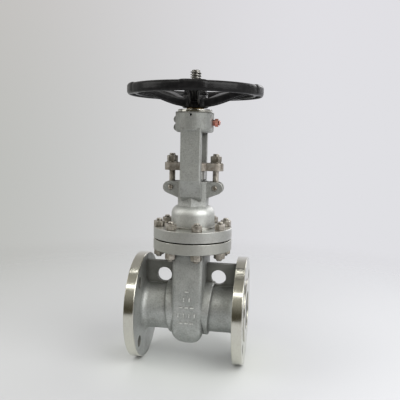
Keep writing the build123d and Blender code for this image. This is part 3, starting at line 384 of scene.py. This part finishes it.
# ---- Other materials ------------------------------------------------------------------------
def metal(name, dark, light, shine, scale=900.0, spots=None):
    """Machined or rolled metal with handling marks, and perhaps spots of another colour; edges are
    lightened as wear and painted highlight, hollows darkened as painted shade.
    """
    p = Paint(name, metallic=1.0)
    soft, edge_wear_and_highlight = p.edges(0.5 * MM)
    # Mask of the hollows, for painted shade.
    grime_and_hollow_shade = p.hollow(5 * MM)
    clouds = p.noise(120.0, 4.0, 0.65)
    fine = p.noise(scale, 3.0, 0.65)
    colour = p.blend(p.step(clouds, 0.35, 0.65), dark, light)
    if spots is not None:
        spotted = p.times(p.step(p.noise(210.0, 3.0, 0.7), 0.5, 0.68), 0.5)
        colour = p.blend(spotted, colour, spots)
    # Lighter edges: wear, and painted highlight.
    wear_and_highlight_colour = tuple(min(1.0, c * 1.5 + 0.08) for c in light)
    colour = p.blend(p.times(edge_wear_and_highlight, 0.65), colour, wear_and_highlight_colour)
    # Painted shade in the hollows.
    colour = p.blend(p.times(grime_and_hollow_shade, 0.75), colour, scaled(dark, 0.22))
    dull = p.times(p.step(clouds, 0.3, 0.7), 0.14)
    roughness = p.add(shine, dull, p.times(fine, 0.10), p.times(edge_wear_and_highlight, -0.08))
    return p.finish(colour, roughness, p.bump(fine, 0.12 * MM, 0.35, soft))


def graphite(name, colour, weave):
    """Pressed graphite with rings one weave apart."""
    p = Paint(name)
    fine = p.noise(1400.0, 3.0, 0.7)
    rings = p.math("SINE", p.times(p.z, tau / weave))
    shade = p.blend(fine, colour, scaled(colour, 2.2))
    relief = p.bump(p.add(fine, p.times(rings, 0.4)), 0.2 * MM, 0.6)
    return p.finish(shade, p.level(fine, 0.45, 0.7), relief)


def gloss_black():
    """Dipped gloss paint over a sand casting: runs, dust and a few chips along the edges; the
    edges also take a painted highlight, and the hollows painted shade.
    """
    p = Paint("gloss_black_paint", coat=0.08, Coat_Roughness=0.12, Specular_IOR_Level=0.16)
    soft, edge_wear_and_highlight = p.edges(1.1 * MM)
    # Mask of the hollows, for painted shade, and for roughness as grime.
    grime_and_hollow_shade = p.hollow(10 * MM)
    sand = p.noise(420.0, 3.0, 0.65)
    lumps = p.noise(110.0, 2.0, 0.5)
    dust = p.noise(1500.0, 2.0, 0.7)
    chips = p.times(edge_wear_and_highlight, p.step(p.noise(330.0, 4.0, 0.75), 0.60, 0.66))
    colour = p.blend(p.step(lumps, 0.3, 0.7), (0.0045, 0.0045, 0.005), (0.009, 0.0085, 0.009))
    colour = p.blend(p.times(p.step(dust, 0.64, 0.8), 0.22), colour, (0.085, 0.08, 0.075))
    # Lighter edges on the black paint: painted highlight, with wear.
    colour = p.blend(p.times(edge_wear_and_highlight, 0.10), colour, (0.09, 0.09, 0.09))
    colour = p.blend(p.times(chips, 0.8), colour, (0.19, 0.175, 0.16))
    # Painted shade in the hollows.
    colour = p.blend(p.times(grime_and_hollow_shade, 0.4), colour, (0.006, 0.006, 0.006))
    roughness = p.add(0.24, p.times(sand, 0.16), p.times(chips, 0.3), p.times(grime_and_hollow_shade, 0.15))
    height = p.add(p.times(sand, 0.7), p.times(lumps, 1.6))
    return p.finish(colour, roughness, p.bump(height, 0.35 * MM, 0.45, soft))


gland_paint = metal(
    "cast_gland", (0.25, 0.225, 0.195), (0.45, 0.42, 0.38), 0.42, 450.0, (0.31, 0.25, 0.20)
)
turned_paint = metal("turned_stainless", (0.52, 0.52, 0.50), (0.66, 0.66, 0.64), 0.22)
fastener_paint = metal(
    "dull_fastener", (0.34, 0.31, 0.27), (0.66, 0.62, 0.56), 0.25, 700.0, (0.30, 0.255, 0.215)
)
stem_paint = metal(
    "rolled_stem", (0.17, 0.165, 0.155), (0.36, 0.35, 0.33), 0.24, 1200.0, (0.15, 0.13, 0.10)
)
bronze_paint = metal("stem_nut_bronze", (0.46, 0.32, 0.15), (0.62, 0.46, 0.24), 0.28)
copper_paint = metal("copper_plate", (0.40, 0.12, 0.085), (0.80, 0.40, 0.33), 0.14, 1500.0)
packing_paint = graphite("packing_graphite", (0.030, 0.030, 0.033), 1.5 * MM)
gasket_paint = graphite("gasket_graphite", (0.022, 0.022, 0.024), 0.5 * MM)
wheel_paint = gloss_black()

painted = (
    (body_paint, "body"),
    (bonnet_paint, "bonnet", "yoke_cap"),
    (gland_paint, "gland_flange"),
    (turned_paint, "seat_ring_inlet", "seat_ring_outlet", "wedge", "backseat_bush",
     "packing_washer", "gland_follower", "thrust_washer_lower", "thrust_washer_upper"),
    (gasket_paint, "bonnet_gasket"),
    (packing_paint, "packing_rings"),
    (bronze_paint, "stem_nut"),
    (stem_paint, "stem"),
    (wheel_paint, "handwheel", "handwheel_washer", "handwheel_nut"),
    (copper_paint, "grease_nipple"),
)
node_paint = {name: paint for paint, *names in painted for name in names}
for name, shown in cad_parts.items():
    shown.data.materials.clear()
    shown.data.materials.append(node_paint.get(name, fastener_paint))


# ---- Mesh building --------------------------------------------------------------------------
class Shape:
    """Collects the closed skins of one piece."""

    def __init__(self):
        self.points, self.faces = [], []

    def loft(self, rings, wrap=False):
        """Joins rings of points one after another; open runs are capped."""
        base, n = len(self.points), len(rings[0])
        for ring in rings:
            self.points.extend(ring)
        last = len(rings) if wrap else len(rings) - 1
        for i in range(last):
            a, b = base + i * n, base + (i + 1) % len(rings) * n
            for j in range(n):
                k = (j + 1) % n
                self.faces.append((a + j, a + k, b + k, b + j))
        if not wrap:
            self.faces.append(tuple(base + j for j in range(n))[::-1])
            self.faces.append(tuple(base + (len(rings) - 1) * n + j for j in range(n)))

    def lathe(self, profile, centre=(0.0, 0.0), steps=64, wave=None):
        """Turns a closed profile of (radius, height) about an upright line; wave(angle,
        radius) moves its points in or out."""
        rings = []
        for i in range(steps):
            a = tau * i / steps
            ring = []
            for r, z in profile:
                r += wave(a, r) if wave else 0.0
                ring.append((centre[0] + r * cos(a), centre[1] + r * sin(a), z))
            rings.append(ring)
        self.loft(rings, wrap=True)

    def thread(self, centre, root, crest, pitch, z_low, z_high, flank, steps=24, hand=-1):
        """A helical ridge between two heights, dying out over a third of a turn at each end;
        hand is 1 for a right-hand screw and -1 for a left-hand one."""
        width = pitch / 2 - flank
        turns = (z_high - z_low - 2 * flank - width) / pitch
        count = int(turns * steps)
        inner = root - 0.1 * MM
        rings = []
        for i in range(count + 1):
            a = hand * tau * i / steps
            fade = min(1.0, i / (steps / 3), (count - i) / (steps / 3))
            top = root + (crest - root) * max(fade, 0.02)
            z = z_low + flank + width / 2 + pitch * i / steps
            section = (
                (inner, z - width / 2 - flank), (inner, z + width / 2 + flank),
                (top, z + width / 2), (top, z - width / 2),
            )
            ring = [(centre[0] + r * cos(a), centre[1] + r * sin(a), h) for r, h in section]
            rings.append(ring)
        self.loft(rings)

    def nut(self, centre, z_low, height, flats, turn, bore, steps=60):
        """A hexagon nut with both its ends turned down to a cone."""
        land = flats / 2 * 0.95
        slope = tan(radians(28))
        lead = 0.6 * MM
        rings = []
        for i in range(steps):
            a = tau * i / steps
            side = (a - turn) % (pi / 3) - pi / 6
            r = flats / 2 / cos(side)
            drop = (r - land) * slope
            ring = (
                (bore, z_low + lead), (bore + lead, z_low), (land, z_low), (r, z_low + drop),
                (r, z_low + height - drop), (land, z_low + height),
                (bore + lead, z_low + height), (bore, z_low + height - lead),
            )
            rings.append([(centre[0] + q * cos(a), centre[1] + q * sin(a), z) for q, z in ring])
        self.loft(rings, wrap=True)

    def build(self, name, body, paint, slot, *nodes, sharp=32, fuse=None):
        """Makes the piece; fuse is the grid size that melts its skins into one."""
        mesh = bpy.data.meshes.new(name)
        mesh.from_pydata(self.points, [], self.faces)
        work = bmesh.new()
        work.from_mesh(mesh)
        bmesh.ops.remove_doubles(work, verts=work.verts, dist=1e-7)
        bmesh.ops.recalc_face_normals(work, faces=work.faces)
        work.to_mesh(mesh)
        work.free()
        made = bpy.data.objects.new(name, mesh)
        scene.collection.objects.link(made)
        if fuse is not None:
            grid = made.modifiers.new("fuse", "REMESH")
            grid.mode = "VOXEL"
            grid.voxel_size = fuse
            easing = made.modifiers.new("ease", "SMOOTH")
            easing.factor = 0.5
            easing.iterations = 4
            bpy.context.view_layer.update()
            graph = bpy.context.evaluated_depsgraph_get()
            fused = bpy.data.meshes.new_from_object(made.evaluated_get(graph))
            made.modifiers.clear()
            made.data = fused
            bpy.data.meshes.remove(mesh)
            mesh = fused
        mesh.shade_smooth()
        if fuse is None:
            mesh.set_sharp_from_angle(angle=radians(sharp))
        mesh.materials.append(paint)
        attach(made, body)
        if nodes:
            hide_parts(*nodes)
        return made


def islands(node):
    """The lowest and highest corner of each separate solid in a CAD node."""
    work = bmesh.new()
    work.from_mesh(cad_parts[node].data)
    bmesh.ops.remove_doubles(work, verts=work.verts, dist=1e-6)
    boxes, seen = [], set()
    for start in work.verts:
        if start in seen:
            continue
        queue, group = [start], []
        seen.add(start)
        while queue:
            v = queue.pop()
            group.append(v.co.copy())
            for edge in v.link_edges:
                other = edge.other_vert(v)
                if other not in seen:
                    seen.add(other)
                    queue.append(other)
        lo = Vector([min(c[i] for c in group) for i in range(3)])
        hi = Vector([max(c[i] for c in group) for i in range(3)])
        boxes.append((lo, hi))
    work.free()
    return boxes


# ---- Nuts and studs -------------------------------------------------------------------------
def middle(lo, hi):
    return ((lo.x + hi.x) / 2, (lo.y + hi.y) / 2)


NUT_FLATS = 16 * MM
STUD_PITCH = 1.5 * MM
STUD_DEPTH = 0.75 * MM        # thread depth
STUD_FLANK = 0.45 * MM
STUD_SCREW = 6 * MM           # threaded length at each end
stud_boxes = islands("bonnet_studs")
stud_r = (stud_boxes[0][1].x - stud_boxes[0][0].x) / 2

# The bonnet's nuts have a corner or a flat towards the stem; the gland's all face +X.
for node, turn, faces_stem in (
    ("bonnet_nuts_upper", 0.0, 1), ("bonnet_nuts_lower", pi / 6, 1), ("gland_nuts", 0.0, 0)
):
    group = Shape()
    for lo, hi in islands(node):
        spot = middle(lo, hi)
        turned = turn + faces_stem * Vector(spot).angle_signed(Vector((1, 0)))
        group.nut(spot, lo.z, hi.z - lo.z, NUT_FLATS, turned, stud_r + 0.05 * MM)
    group.build("nuts_" + node, "valve_body", fastener_paint, "fastener_steel", node, sharp=25)

studs = Shape()
for lo, hi in stud_boxes:
    spot = middle(lo, hi)
    root = stud_r - STUD_DEPTH
    shank = root + 0.3 * MM
    tip = 0.4 * MM
    studs.lathe(
        [(0.0, lo.z), (root - tip, lo.z), (root, lo.z + tip), (root, lo.z + STUD_SCREW),
         (shank, lo.z + STUD_SCREW), (shank, hi.z - STUD_SCREW), (root, hi.z - STUD_SCREW),
         (root, hi.z - tip), (root - tip, hi.z), (0.0, hi.z)], spot, 24)
    for low, high in (
        (hi.z - STUD_SCREW, hi.z - 0.2 * MM), (lo.z + 0.2 * MM, lo.z + STUD_SCREW)
    ):
        studs.thread(spot, root, stud_r, STUD_PITCH, low, high, STUD_FLANK, hand=1)
studs.build("threaded_studs", "valve_body", fastener_paint, "fastener_steel", "bonnet_studs")

# ---- Stem with its real thread --------------------------------------------------------------
PITCH = 4 * MM
STEM_R = 9 * MM
STEM_ROOT = STEM_R - 2.25 * MM
STEM_FLANK = 0.6 * MM
SCREW_BELOW_HEAD = 110.5 * MM     # screw's lower end, below the top of the yoke's head
SHANK_LENGTH = 150 * MM           # plain shank under the screw
NECK_R = 6 * MM
COLLAR_R = 12.5 * MM
COLLAR_LAND_R = 10.5 * MM
COLLAR_HEIGHT = 6 * MM
COLLAR_DROP = 33 * MM             # backseat collar's top, below the bonnet's joint
TEE_HALF_DEPTH = 8 * MM
TEE_HALF_WIDTH = 12 * MM
TEE_HEIGHT = 8 * MM

spindle = Shape()
screw_low = bonnet_hi.z - SCREW_BELOW_HEAD
tip = 0.8 * MM
spindle.lathe(
    [(0.0, screw_low - SHANK_LENGTH), (STEM_R, screw_low - SHANK_LENGTH), (STEM_R, screw_low),
     (STEM_ROOT, screw_low + 2 * MM), (STEM_ROOT, stem_hi.z - tip),
     (STEM_ROOT - tip, stem_hi.z), (0.0, stem_hi.z)],
    steps=48)
spindle.thread((0.0, 0.0), STEM_ROOT, STEM_R, PITCH, screw_low, stem_hi.z - 0.6 * MM,
               STEM_FLANK, steps=36)
neck_low = stem_lo.z + 4 * MM
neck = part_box("wedge")[1].z
spindle.lathe(
    [(0.0, neck_low), (NECK_R, neck_low), (NECK_R, neck + 6 * MM), (STEM_R, neck + 9 * MM),
     (STEM_R, neck + 12 * MM), (0.0, neck + 12 * MM)], steps=32)
collar_top = bonnet_lo.z - COLLAR_DROP
collar_low = collar_top - COLLAR_HEIGHT
spindle.lathe(
    [(0.0, collar_low), (COLLAR_R, collar_low), (COLLAR_R, collar_top - 2 * MM),
     (COLLAR_LAND_R, collar_top), (0.0, collar_top)], steps=48)
tee = [
    (-TEE_HALF_DEPTH, -TEE_HALF_WIDTH), (TEE_HALF_DEPTH, -TEE_HALF_WIDTH),
    (TEE_HALF_DEPTH, TEE_HALF_WIDTH), (-TEE_HALF_DEPTH, TEE_HALF_WIDTH),
]
spindle.loft([[(x, y, z) for x, y in tee] for z in (stem_lo.z, stem_lo.z + TEE_HEIGHT)])
spindle.build("threaded_stem", "stem", stem_paint, "stem_steel", "stem", sharp=30)

# ---- Handwheel ------------------------------------------------------------------------------
SPOKES = 5
SPOKE_TURN = radians(7)       # first spoke, from -Y towards +X
SPOKE_SINK = 3 * MM           # how far a spoke runs into the hub and the rim
SPOKE_RIB = 3.3 * MM          # walls of the spoke's channel
SPOKE_ROOF = 4.6 * MM
RIM_WALL = 4.0 * MM
RIM_ROOF = 5.0 * MM
RIM_ROUND = 4.6 * MM
SEAT_HALF_ANGLE = 0.205       # of the thickened seat where a spoke meets the rim
SCALLOPS = 54
GRID = 1.15 * MM              # the wheel's skins are fused on this grid
rim_top = wheel_hi.z - 0.9 * MM
rim_low = wheel_hi.z - 17.4 * MM
rim_out = WHEEL_R - 1.1 * MM
rim_in = WHEEL_R - 16.8 * MM
hub_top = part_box("handwheel_washer")[0].z
hub_r = 21.0 * MM
hub_bore = 12.65 * MM


def grip(a, r):
    """Shallow finger scallops round the outside of the rim."""
    share = max(0.0, min(1.0, (r - rim_in) / (rim_out - rim_in) * 2 - 1))
    return -0.12 * MM * share * (0.5 - 0.5 * cos(SCALLOPS * a))


wheel = Shape()
# The rim is an upside-down channel with a rounded back.
wheel.lathe(
    [(rim_out - 2.2 * MM, rim_low), (rim_out - 0.5 * MM, rim_low + 1.6 * MM),
     (rim_out, rim_low + 4.2 * MM), (rim_out, rim_top - RIM_ROUND),
     (rim_out - RIM_ROUND * 0.3, rim_top - RIM_ROUND * 0.3), (rim_out - RIM_ROUND, rim_top),
     (rim_in + RIM_ROUND, rim_top), (rim_in + RIM_ROUND * 0.3, rim_top - RIM_ROUND * 0.3),
     (rim_in, rim_top - RIM_ROUND), (rim_in + 0.2 * MM, rim_low + 2.6 * MM),
     (rim_in + 0.8 * MM, rim_low + 1.1 * MM), (rim_in + RIM_WALL - 0.6 * MM, rim_low + 1.1 * MM),
     (rim_in + RIM_WALL, rim_top - RIM_ROOF - 3 * MM),
     (rim_in + RIM_WALL + 2 * MM, rim_top - RIM_ROOF),
     (rim_out - RIM_WALL - 2 * MM, rim_top - RIM_ROOF),
     (rim_out - RIM_WALL, rim_top - RIM_ROOF - 3 * MM), (rim_out - RIM_WALL + 0.4 * MM, rim_low)],
    steps=240, wave=grip)
wheel.lathe(
    [(hub_bore, HUB_Z), (hub_r - 1.2 * MM, HUB_Z), (hub_r, HUB_Z + 1.2 * MM),
     (hub_r - 0.8 * MM, hub_top - 2 * MM), (hub_r - 2.4 * MM, hub_top), (hub_bore, hub_top)],
    steps=72)
for spoke in range(SPOKES):
    a = SPOKE_TURN - pi / 2 + tau * spoke / SPOKES
    along, side = Vector((cos(a), sin(a), 0)), Vector((-sin(a), cos(a), 0))
    # The spoke is a channel too: it rises to the rim, waists, and widens at its end.
    rings = []
    for i in range(15):
        t = i / 14
        out = hub_r - SPOKE_SINK + t * (rim_in + SPOKE_SINK - hub_r + SPOKE_SINK)
        ease = t * t * (3 - 2 * t)
        top = (1 - ease) * (HUB_Z + 15.5 * MM) + ease * (rim_top - 2.0 * MM)
        waist = 1.6 * sin(pi * min(1.0, t * 1.25))
        half = (9.6 - waist + 2.4 * max(0.0, t - 0.7) / 0.3) * MM
        deep = (13.0 - 2.0 * t) * MM
        section = [
            (-half, top - 1.4 * MM), (-half + 1.2 * MM, top),
            (half - 1.2 * MM, top), (half, top - 1.4 * MM),
            (half, top - deep), (half - SPOKE_RIB, top - deep),
            (half - SPOKE_RIB - 0.8 * MM, top - SPOKE_ROOF),
            (-half + SPOKE_RIB + 0.8 * MM, top - SPOKE_ROOF),
            (-half + SPOKE_RIB, top - deep), (-half, top - deep),
        ]
        rings.append([tuple(along * out + side * u + Vector((0, 0, v))) for u, v in section])
    wheel.loft(rings)
    # The rim thickens round the spoke's end.
    rings = []
    for i in range(13):
        t = i / 6 - 1
        bulge = max(0.0, 1 - abs(t) ** 6) ** 0.5
        b = a + t * SEAT_HALF_ANGLE
        r_out = rim_out - 1.2 * MM + 2.2 * MM * bulge
        r_in = rim_in + 1.0 * MM - 1.4 * MM * bulge
        low, top = rim_low + 1.6 * MM, rim_top - 1.0 * MM + 1.8 * MM * bulge
        section = [
            (r_out - 1.5 * MM, low), (r_out, low + 2 * MM),
            (r_out, top - 3.2 * MM), (r_out - 2.6 * MM, top),
            (r_in + 3.2 * MM, top), (r_in, top - 3 * MM),
            (r_in, low + 2 * MM), (r_in + 1.5 * MM, low),
        ]
        rings.append([(r * cos(b), r * sin(b), z) for r, z in section])
    wheel.loft(rings)
wheel.build("cast_handwheel", "handwheel", wheel_paint, "wheel_paint", "handwheel", fuse=GRID)

CROWN_FLATS = 34 * MM
CROWN_BORE = 12.1 * MM
nut_lo, nut_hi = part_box("handwheel_nut")
crown = Shape()
crown.nut((0.0, 0.0), nut_lo.z, nut_hi.z - nut_lo.z, CROWN_FLATS, pi / 6, CROWN_BORE, steps=120)
crown.build("crown_nut", "handwheel", wheel_paint, "fastener_steel", "handwheel_nut", sharp=25)

# ---- Floor ----------------------------------------------------------------------------------
FLOOR_R = 6.0
floor_mesh = bpy.data.meshes.new("floor")
ring = [(FLOOR_R * cos(tau * i / 64), FLOOR_R * sin(tau * i / 64), body_lo.z) for i in range(64)]
floor_mesh.from_pydata(ring, [], [tuple(range(64))])
floor_piece = bpy.data.objects.new("floor", floor_mesh)
scene.collection.objects.link(floor_piece)
# Paper that fades into the backdrop with distance; painted light makes it lighter under the valve,
# where its shadow falls, and painted shade makes it darker towards -X.
ground = Paint("floor_paper")
far = ground.distance(ground.x, ground.y)
# Painted shade: darker towards -X, away from the right key.
paper = ground.blend(
    ground.step(ground.x, -0.9, 0.5), (0.455, 0.46, 0.448), (0.535, 0.54, 0.56)
)
# Painted light: lighter near the valve, where its shadow falls.
paper = ground.blend(ground.step(far, 0.22, 0.06), paper, (0.59, 0.605, 0.59))
ground.finish(paper, 0.55, ground.bump(ground.noise(500.0, 2.0), 0.1 * MM, 0.15))
merge = ground.node("ShaderNodeMixShader")
ground.put(ground.step(far, 0.36, 1.15), merge.inputs[0])
ground.put(ground.shader.outputs[0], merge.inputs[1])
ground.put(ground.node("ShaderNodeBsdfTransparent").outputs[0], merge.inputs[2])
ground.put(merge.outputs[0], ground.tree.nodes["Material Output"].inputs[0])
floor_mesh.materials.append(ground.material)

# ---- Studio: the walls round the valve, as directions from it -----------------------------------
world = bpy.data.worlds.new("studio")
scene.world = world
world.use_nodes = True
room = Network(world.node_tree)
split = room.node("ShaderNodeSeparateXYZ")
room.put(room.node("ShaderNodeTexCoord").outputs["Generated"], split.inputs[0])
east, north, height = split.outputs
front = room.step(north, 0.35, -0.35)
side = room.step(east, -0.62, 0.08)
rise = room.step(height, -0.1, 0.45)
left_wall = room.blend(rise, (0.495, 0.50, 0.475), (0.545, 0.525, 0.505))
right_wall = room.blend(rise, (0.745, 0.745, 0.775), (0.75, 0.74, 0.775))
backdrop = room.blend(side, left_wall, right_wall)
front_wall = room.blend(room.step(height, 0.02, 0.72), (0.075, 0.068, 0.048), (0.42, 0.41, 0.36))
front_wall = room.blend(room.step(height, -0.40, -0.12), (0.70, 0.68, 0.65), front_wall)
front_wall = room.blend(room.step(height, 0.88, 0.97), front_wall, (0.30, 0.29, 0.26))
back_wall = room.blend(room.step(height, 0.3, 0.8), backdrop, (0.42, 0.41, 0.39))
surround = room.blend(front, back_wall, front_wall)
surround = room.blend(room.step(east, 0.55, 0.9), surround, (0.50, 0.50, 0.49))
# The backdrop is seen directly, the walls in reflections, and an even light by matt surfaces.
rays = room.node("ShaderNodeLightPath")
seen = room.blend(rays.outputs["Is Diffuse Ray"], surround, (0.88, 0.88, 0.88))
seen = room.blend(rays.outputs["Is Camera Ray"], seen, backdrop)
background = room.node("ShaderNodeBackground")
room.put(seen, background.inputs["Color"])
background.inputs["Strength"].default_value = 1.0
room.put(background.outputs[0], room.node("ShaderNodeOutputWorld").inputs[0])

LAMP_AIM = Vector((0.0, 0.0, 0.22))


def softbox(name, place, width, depth, power, tint):
    lamp = bpy.data.lights.new(name, "AREA")
    lamp.shape = "RECTANGLE"
    lamp.size, lamp.size_y = width, depth
    lamp.energy = power
    lamp.color = tint
    made = bpy.data.objects.new(name, lamp)
    scene.collection.objects.link(made)
    made.location = place
    made.rotation_mode = "QUATERNION"
    made.rotation_quaternion = (LAMP_AIM - Vector(place)).to_track_quat("-Z", "Y")


softbox("front_strip", (-0.28, -1.16, 1.42), 1.2, 0.20, 2.2, (1.0, 1.0, 0.96))
softbox("top_strip", (-0.20, 0.16, 1.95), 1.1, 0.07, 1.5, (1.0, 1.0, 0.96))
softbox("right_key", (1.25, -0.85, 1.20), 1.5, 1.4, 25.0, (1.0, 1.0, 0.99))
softbox("left_fill", (-1.5, -0.6, 1.0), 1.0, 1.1, 8.0, (1.0, 0.99, 0.97))
softbox("back_fill", (0.9, 1.5, 1.1), 0.9, 0.7, 7.0, (1.0, 1.0, 1.0))

# ---- Camera ---------------------------------------------------------------------------------
FOCAL = 535.4 / 400          # in picture widths
CAMERA_AT = (0.1467, -0.8743, 0.3748)
turn, pitch, roll = radians(8.81), radians(6.64), radians(1.29)
ahead = Vector((-sin(turn) * cos(pitch), cos(turn) * cos(pitch), -sin(pitch)))
flat_right = Vector((cos(turn), sin(turn), 0))
flat_up = flat_right.cross(ahead)
right = cos(roll) * flat_right + sin(roll) * flat_up
up = cos(roll) * flat_up - sin(roll) * flat_right
lens = bpy.data.cameras.new("camera")
lens.sensor_width = 36.0
lens.lens = FOCAL * lens.sensor_width
lens.clip_start, lens.clip_end = 0.01, 50.0
camera = bpy.data.objects.new("camera", lens)
scene.collection.objects.link(camera)
turned = Matrix((right, up, -ahead)).transposed().to_4x4()
camera.matrix_world = Matrix.Translation(CAMERA_AT) @ turned
scene.camera = camera
scene.view_settings.view_transform = "Standard"
